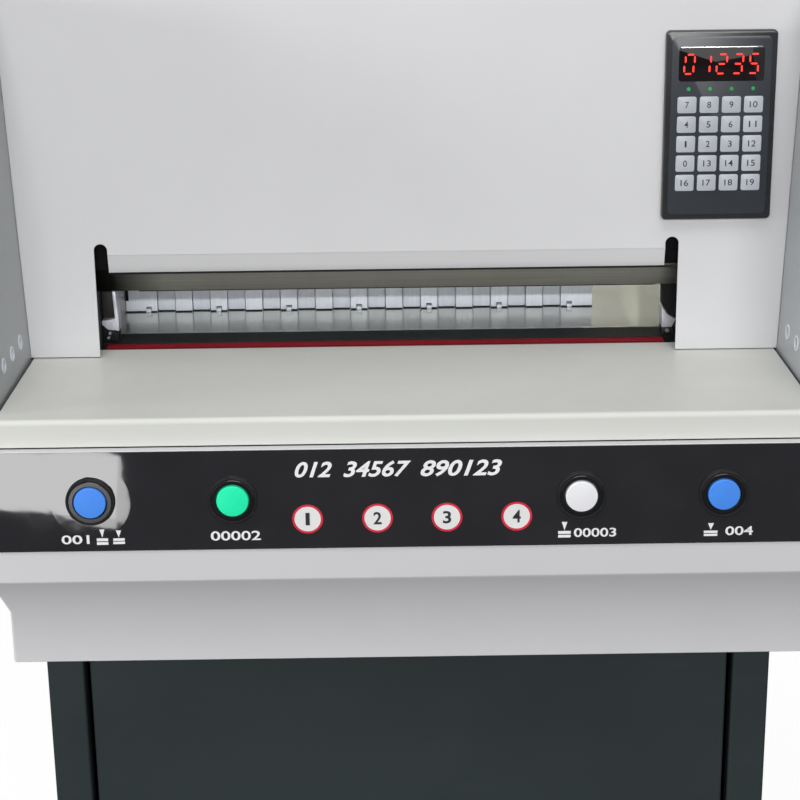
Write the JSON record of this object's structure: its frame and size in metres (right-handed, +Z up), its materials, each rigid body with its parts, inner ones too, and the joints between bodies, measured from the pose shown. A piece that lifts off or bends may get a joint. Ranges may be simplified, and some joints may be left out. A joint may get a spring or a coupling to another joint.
{
  "type": "electric paper cutter",
  "caption": "Floor-standing electric guillotine for paper: powered knife and clamp, comb backgauge, four push buttons and a cabinet stand.",
  "frame": {"origin": "on the floor under the feet, at the middle of the whole machine's box in X and Y", "axes": "+Z up, +Y from the operator's side to the back, +X to the operator's right"},
  "size_m": [0.659, 0.8339, 1.19],
  "materials": {
    "light_paint": "satin light grey powder coat",
    "table_paint": "glossy grey-green enamel",
    "cheek_paint": "glossy mid grey enamel",
    "stand_paint": "dark green-black powder coat",
    "black_gloss": "glossy black front foil",
    "black_plastic": "moulded black",
    "black_iron": "black painted iron",
    "frame_iron": "dark painted casting",
    "carrier_steel": "blackened, ground edges",
    "blade_steel": "ground along its length",
    "polished_steel": "polished to a soft mirror",
    "bright_steel": "turned and ground bright",
    "aluminium": "milled, clear anodised",
    "red_plastic": "dull red nylon",
    "motor_paint": "blue-grey motor enamel",
    "gearbox_paint": "grey machine enamel",
    "rubber": "matt black rubber",
    "zinc": "zinc-plated sheet",
    "blue_cap": "smooth translucent blue",
    "green_cap": "smooth green, lit from inside",
    "white_cap": "smooth white"
  },
  "bodies": {
    "frame": {"stand_shell": "stand_paint", "stand_floor": "stand_paint", "foot_front_left": "rubber", "foot_front_right": "rubber", "foot_rear_left": "rubber", "foot_rear_right": "rubber", "base_housing": "light_paint", "base_plate": "black_iron", "front_table": "table_paint", "frame_left": "frame_iron", "frame_right": "frame_iron", "top_beam": "frame_iron", "bed_beam": "black_iron", "cutting_stick": "red_plastic", "rear_table": "polished_steel", "bed_end_left": "bright_steel", "bed_end_right": "bright_steel", "side_fence": "bright_steel", "knife_guide_left": "black_iron", "knife_guide_right": "black_iron", "gearbox": "gearbox_paint", "knife_motor": "motor_paint", "clamp_motor": "motor_paint", "gauge_rail_left": "bright_steel", "gauge_rail_right": "bright_steel", "gauge_end_plate": "frame_iron", "gauge_motor": "motor_paint", "front_cover": "light_paint", "rear_cover": "light_paint", "side_cover_left": "light_paint", "side_cover_right": "light_paint", "cheek_left": "cheek_paint", "cheek_right": "cheek_paint", "control_overlay": "black_gloss", "cut_button_left_bezel": "black_plastic", "power_button_bezel": "black_plastic", "reset_button_bezel": "black_plastic", "cut_button_right_bezel": "black_plastic", "console": "black_gloss", "mains_inlet": "black_plastic", "control_box": "zinc"},
    "knife": {"knife_carrier": "carrier_steel", "knife_blade": "blade_steel", "pull_rod_left": "bright_steel", "pull_rod_right": "bright_steel"},
    "crank_shaft": {"knife_shaft": "bright_steel"},
    "clamp": {"clamp_beam": "black_iron", "clamp_rod_left": "bright_steel", "clamp_rod_right": "bright_steel"},
    "clamp_spindle": {"clamp_screw": "bright_steel"},
    "backgauge": {"gauge_comb": "aluminium", "gauge_carriage": "black_iron"},
    "gauge_spindle": {"gauge_screw": "bright_steel"},
    "door": {"cabinet_door": "stand_paint"},
    "latch": {"door_latch": "bright_steel"},
    "cut_left": {"cut_button_left": "blue_cap"},
    "power": {"power_button": "green_cap"},
    "reset": {"reset_button": "white_cap"},
    "cut_right": {"cut_button_right": "blue_cap"},
    "rocker": {"main_switch": "black_plastic"}
  },
  "joints": [
    {"name": "knife_slide", "type": "slide", "parent": "frame", "child": "knife", "axis": [0, 0, -1], "range_m": [0, 0.0464]},
    {"name": "crank_turn", "type": "hinge", "parent": "frame", "child": "crank_shaft", "pos_m": [-0.0111, -0.24076, 0.728], "axis": [-1, 0, 0], "range_deg": [0, 101.4]},
    {"name": "clamp_slide", "type": "slide", "parent": "frame", "child": "clamp", "axis": [0, 0, -1], "range_m": [0, 0.045]},
    {"name": "clamp_screw_turn", "type": "hinge", "parent": "frame", "child": "clamp_spindle", "pos_m": [-0.005, -0.17756, 0.98], "axis": [0, 0, 1], "range_deg": [0, 2701]},
    {"name": "backgauge_slide", "type": "slide", "parent": "frame", "child": "backgauge", "axis": [0, 1, 0], "range_m": [-0.06, 0.338]},
    {"name": "gauge_screw_turn", "type": "hinge", "parent": "frame", "child": "gauge_spindle", "pos_m": [-0.0111, 0.1, 0.825], "axis": [0, 1, 0], "range_deg": [-2161, 12169]},
    {"name": "door_swing", "type": "hinge", "parent": "frame", "child": "door", "pos_m": [-0.25, -0.32276, 0.36], "axis": [0, 0, -1], "range_deg": [0, 110]},
    {"name": "latch_turn", "type": "hinge", "parent": "door", "child": "latch", "pos_m": [0.234, -0.33126, 0.43205], "axis": [0, 1, 0], "range_deg": [0, 90]},
    {"name": "cut_left_press", "type": "slide", "parent": "frame", "child": "cut_left", "axis": [0, 1, 0], "range_m": [0, 0.0035], "stiffness_N_per_m": 900},
    {"name": "power_press", "type": "slide", "parent": "frame", "child": "power", "axis": [0, 1, 0], "range_m": [0, 0.0035], "stiffness_N_per_m": 900},
    {"name": "reset_press", "type": "slide", "parent": "frame", "child": "reset", "axis": [0, 1, 0], "range_m": [0, 0.0035], "stiffness_N_per_m": 900},
    {"name": "cut_right_press", "type": "slide", "parent": "frame", "child": "cut_right", "axis": [0, 1, 0], "range_m": [0, 0.0035], "stiffness_N_per_m": 900},
    {"name": "switch_rock", "type": "hinge", "parent": "frame", "child": "rocker", "pos_m": [0.19, 0.41224, 0.786], "axis": [1, 0, 0], "range_deg": [0, 20]}
  ],
  "couplings": [
    {"joint": "crank_turn", "follows": "knife_slide", "rad_per_m": 38.107},
    {"joint": "clamp_screw_turn", "follows": "clamp_slide", "rad_per_m": 1047.2},
    {"joint": "gauge_screw_turn", "follows": "backgauge_slide", "rad_per_m": 628.32}
  ]
}
